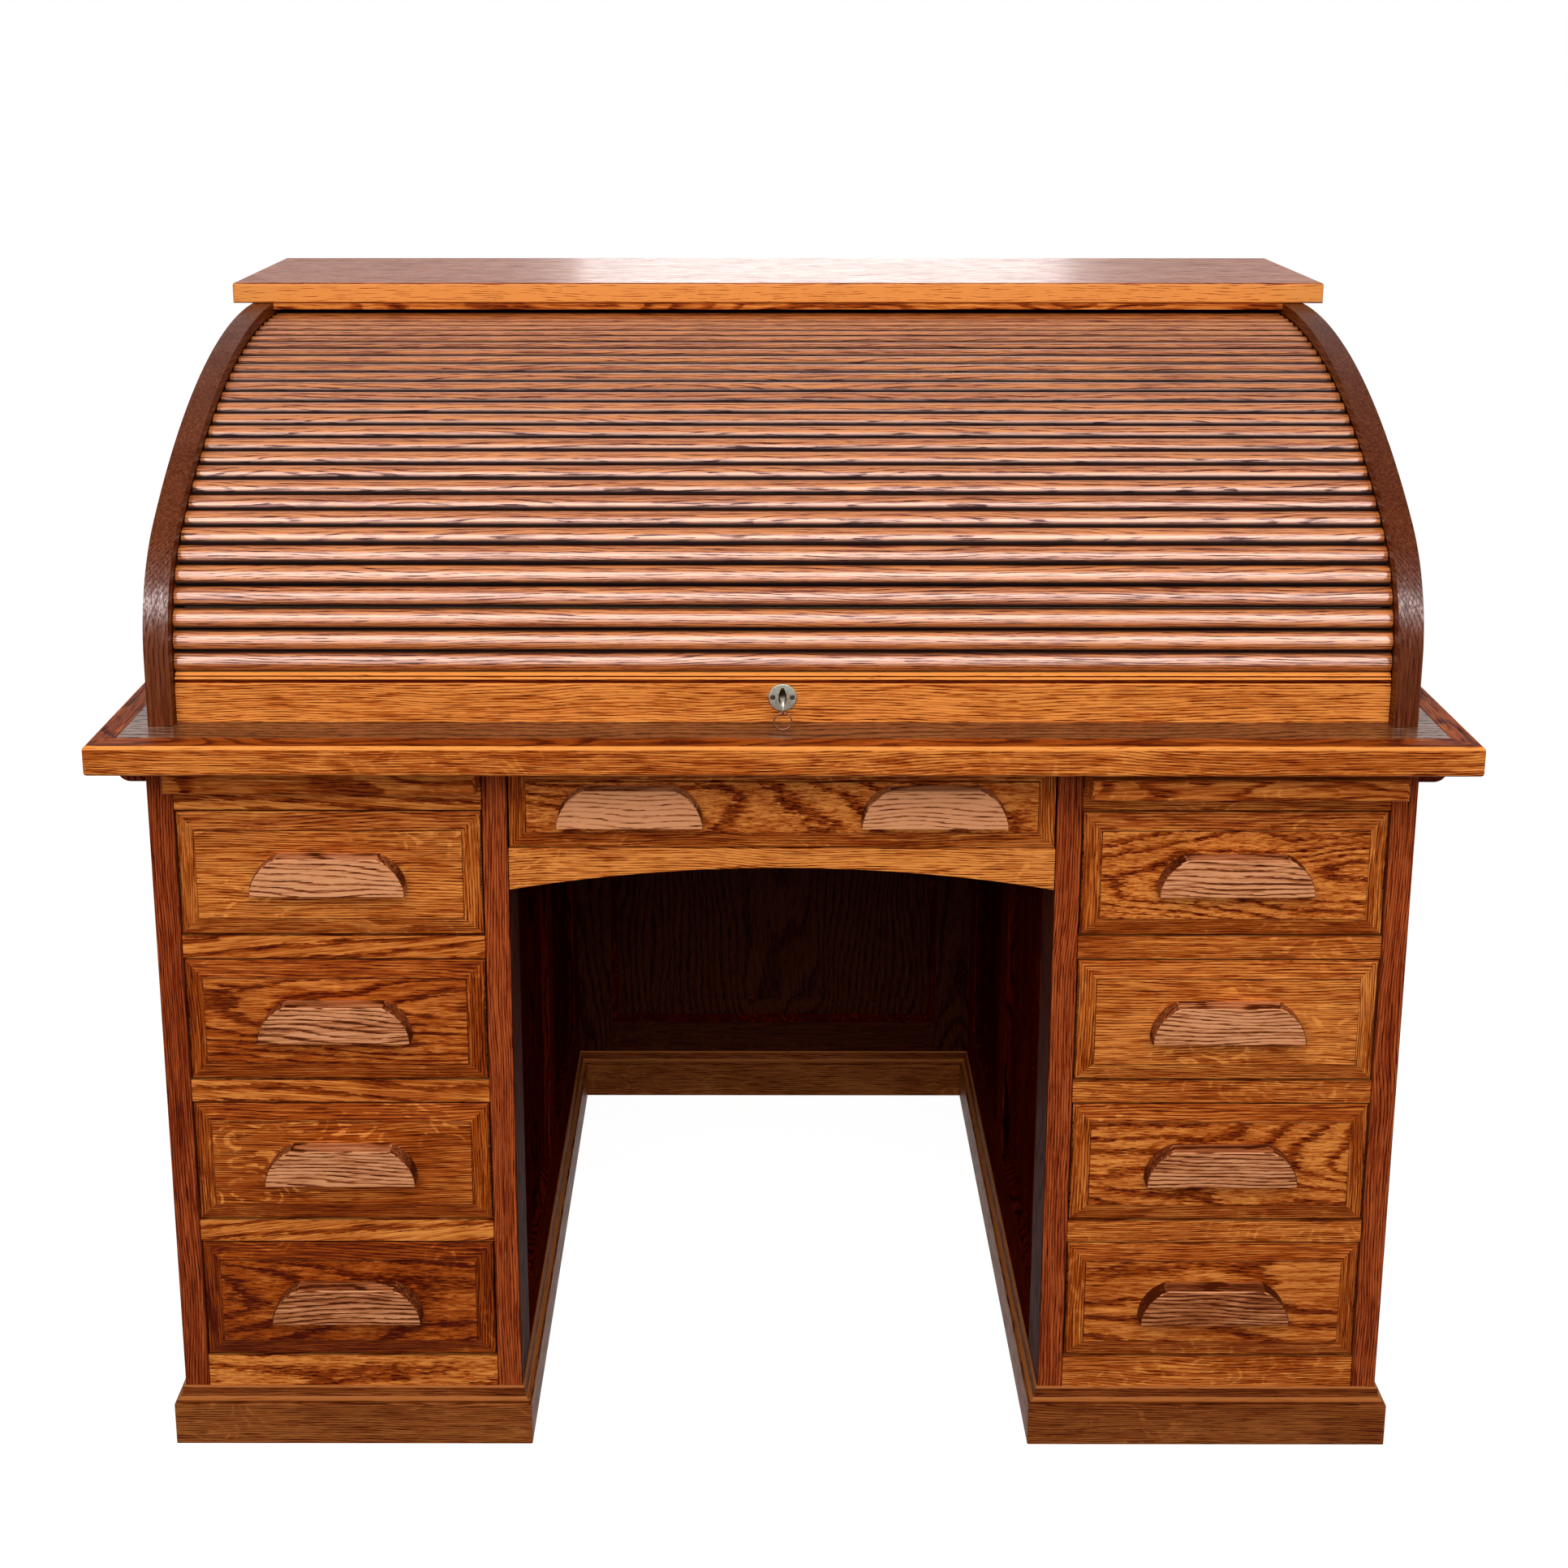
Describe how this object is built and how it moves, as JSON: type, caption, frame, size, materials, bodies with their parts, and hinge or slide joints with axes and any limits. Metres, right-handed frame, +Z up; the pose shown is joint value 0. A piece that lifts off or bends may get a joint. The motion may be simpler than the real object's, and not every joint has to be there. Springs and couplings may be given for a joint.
{
  "type": "roll-top desk",
  "caption": "Double-pedestal oak desk with nine fielded drawers, two writing slides and a curved case closed by a jointed slat curtain over a pigeonhole gallery",
  "frame": {"origin": "on the floor, below the middle of the writing top", "axes": "+Z up, -Y out of the drawer fronts, +X to the right of someone sitting at the desk"},
  "size_m": [1.287, 0.82, 1.1425],
  "materials": {
    "oak": "polished golden oak",
    "oak_panel": "polished quarter-sawn oak",
    "oak_front": "polished figured oak",
    "oak_slat": "polished oak slats with canvas behind",
    "oak_dark": "dark stained oak",
    "secondary": "unpolished secondary wood",
    "nickel": "nickel plate",
    "brass": "aged brass"
  },
  "bodies": {
    "case": {"writing_top": "oak", "writing_top_lipping": "oak", "outer_end_frames": "oak", "inner_end_frames": "oak", "end_panels": "oak_panel", "back_frame": "oak", "back_panels": "oak_panel", "panel_beads": "oak", "plinth": "oak", "plinth_moulding": "oak", "right_drawer_rails": "oak", "left_drawer_rails": "oak", "drawer_runners": "secondary", "centre_drawer_runners": "oak_dark", "kneehole_apron": "oak", "side_cleats": "oak", "right_side_panel": "oak_panel", "left_side_panel": "oak_panel", "case_back": "oak_panel", "case_top_board": "oak", "hood_rail": "oak_dark", "gallery": "oak", "gallery_back": "oak_dark", "lock_strike": "brass"},
    "left_drawer_1": {"left_drawer_1_front": "oak_front", "left_drawer_1_box": "secondary"},
    "left_drawer_2": {"left_drawer_2_front": "oak_front", "left_drawer_2_box": "secondary"},
    "left_drawer_3": {"left_drawer_3_front": "oak_front", "left_drawer_3_box": "secondary"},
    "left_drawer_4": {"left_drawer_4_front": "oak_front", "left_drawer_4_box": "secondary"},
    "right_drawer_1": {"right_drawer_1_front": "oak_front", "right_drawer_1_box": "secondary"},
    "right_drawer_2": {"right_drawer_2_front": "oak_front", "right_drawer_2_box": "secondary"},
    "right_drawer_3": {"right_drawer_3_front": "oak_front", "right_drawer_3_box": "secondary"},
    "right_drawer_4": {"right_drawer_4_front": "oak_front", "right_drawer_4_box": "secondary"},
    "centre_drawer": {"centre_drawer_front": "oak_front", "centre_drawer_box": "secondary"},
    "left_slide": {"left_writing_slide": "oak_front"},
    "right_slide": {"right_writing_slide": "oak_front"},
    "curtain_lead": {"lead_rail": "oak_slat", "curtain_slats_01": "oak_slat", "lock_body": "brass", "lock_escutcheon": "nickel"},
    "curtain_02": {"curtain_slats_02": "oak_slat"},
    "curtain_03": {"curtain_slats_03": "oak_slat"},
    "curtain_04": {"curtain_slats_04": "oak_slat"},
    "curtain_05": {"curtain_slats_05": "oak_slat"},
    "curtain_06": {"curtain_slats_06": "oak_slat"},
    "curtain_07": {"curtain_slats_07": "oak_slat"},
    "curtain_08": {"curtain_slats_08": "oak_slat"},
    "curtain_09": {"curtain_slats_09": "oak_slat"},
    "curtain_10": {"curtain_slats_10": "oak_slat"},
    "key": {"lock_key": "nickel"},
    "ring": {"key_ring": "nickel"}
  },
  "joints": [
    {"name": "curtain_roll", "type": "hinge", "parent": "case", "child": "curtain_05", "pos_m": [0, 0.19153, 0.26625], "axis": [-1, 0, 0], "range_deg": [0, 32.84]},
    {"name": "curtain_lead_bend", "type": "hinge", "parent": "curtain_02", "child": "curtain_lead", "pos_m": [0, -0.32693, 0.86847], "axis": [-1, 0, 0], "range_deg": [0, 13.05]},
    {"name": "curtain_02_bend", "type": "hinge", "parent": "curtain_03", "child": "curtain_02", "pos_m": [0, -0.31333, 0.90654], "axis": [-1, 0, 0], "range_deg": [0, 15.1]},
    {"name": "curtain_03_bend", "type": "hinge", "parent": "curtain_04", "child": "curtain_03", "pos_m": [0, -0.28854, 0.93848], "axis": [-1, 0, 0], "range_deg": [0, 12.91]},
    {"name": "curtain_04_bend", "type": "hinge", "parent": "curtain_05", "child": "curtain_04", "pos_m": [0, -0.25672, 0.96367], "axis": [-1, 0, 0], "range_deg": [0, 5.64]},
    {"name": "curtain_06_bend", "type": "hinge", "parent": "curtain_05", "child": "curtain_06", "pos_m": [0, -0.18854, 1.00768], "axis": [-1, 0, 0], "range_deg": [0, 7.2]},
    {"name": "curtain_07_bend", "type": "hinge", "parent": "curtain_06", "child": "curtain_07", "pos_m": [0, -0.09674, 1.05076], "axis": [-1, 0, 0], "range_deg": [0, 56.56]},
    {"name": "curtain_08_bend", "type": "hinge", "parent": "curtain_07", "child": "curtain_08", "pos_m": [0, -0.01932, 1.07508], "axis": [-1, 0, 0], "range_deg": [0, 6.22]},
    {"name": "curtain_09_bend", "type": "hinge", "parent": "curtain_08", "child": "curtain_09", "pos_m": [0, 0.04035, 1.08716], "axis": [-1, 0, 0], "range_deg": [-5.24, 0]},
    {"name": "curtain_10_bend", "type": "hinge", "parent": "curtain_09", "child": "curtain_10", "pos_m": [0, 0.10086, 1.09385], "axis": [-1, 0, 0], "range_deg": [-5.05, 0]},
    {"name": "left_drawer_1_slide", "type": "slide", "parent": "case", "child": "left_drawer_1", "axis": [0, -1, 0], "range_m": [0, 0.4]},
    {"name": "left_drawer_2_slide", "type": "slide", "parent": "case", "child": "left_drawer_2", "axis": [0, -1, 0], "range_m": [0, 0.4]},
    {"name": "left_drawer_3_slide", "type": "slide", "parent": "case", "child": "left_drawer_3", "axis": [0, -1, 0], "range_m": [0, 0.4]},
    {"name": "left_drawer_4_slide", "type": "slide", "parent": "case", "child": "left_drawer_4", "axis": [0, -1, 0], "range_m": [0, 0.4]},
    {"name": "right_drawer_1_slide", "type": "slide", "parent": "case", "child": "right_drawer_1", "axis": [0, -1, 0], "range_m": [0, 0.4]},
    {"name": "right_drawer_2_slide", "type": "slide", "parent": "case", "child": "right_drawer_2", "axis": [0, -1, 0], "range_m": [0, 0.4]},
    {"name": "right_drawer_3_slide", "type": "slide", "parent": "case", "child": "right_drawer_3", "axis": [0, -1, 0], "range_m": [0, 0.4]},
    {"name": "right_drawer_4_slide", "type": "slide", "parent": "case", "child": "right_drawer_4", "axis": [0, -1, 0], "range_m": [0, 0.4]},
    {"name": "centre_drawer_slide", "type": "slide", "parent": "case", "child": "centre_drawer", "axis": [0, -1, 0], "range_m": [0, 0.38]},
    {"name": "left_writing_slide_slide", "type": "slide", "parent": "case", "child": "left_slide", "axis": [0, -1, 0], "range_m": [0, 0.33]},
    {"name": "right_writing_slide_slide", "type": "slide", "parent": "case", "child": "right_slide", "axis": [0, -1, 0], "range_m": [-0.017, 0.313]},
    {"name": "key_turn", "type": "hinge", "parent": "curtain_lead", "child": "key", "pos_m": [0, -0.3411, 0.8053], "axis": [0, 1, 0], "range_deg": [0, 90]},
    {"name": "ring_swing", "type": "hinge", "parent": "key", "child": "ring", "pos_m": [0, -0.3701, 0.79955], "axis": [-1, 0, 0], "range_deg": [-80, 80]}
  ],
  "couplings": [
    {"joint": "curtain_lead_bend", "follows": "curtain_roll", "ratio": 0.3897},
    {"joint": "curtain_02_bend", "follows": "curtain_roll", "ratio": 0.45081},
    {"joint": "curtain_03_bend", "follows": "curtain_roll", "ratio": 0.38534},
    {"joint": "curtain_04_bend", "follows": "curtain_roll", "ratio": 0.16828},
    {"joint": "curtain_06_bend", "follows": "curtain_roll", "ratio": 0.21502},
    {"joint": "curtain_07_bend", "follows": "curtain_roll", "ratio": 1.6883},
    {"joint": "curtain_08_bend", "follows": "curtain_roll", "ratio": 0.18557},
    {"joint": "curtain_09_bend", "follows": "curtain_roll", "ratio": -0.15636},
    {"joint": "curtain_10_bend", "follows": "curtain_roll", "ratio": -0.15062}
  ]
}
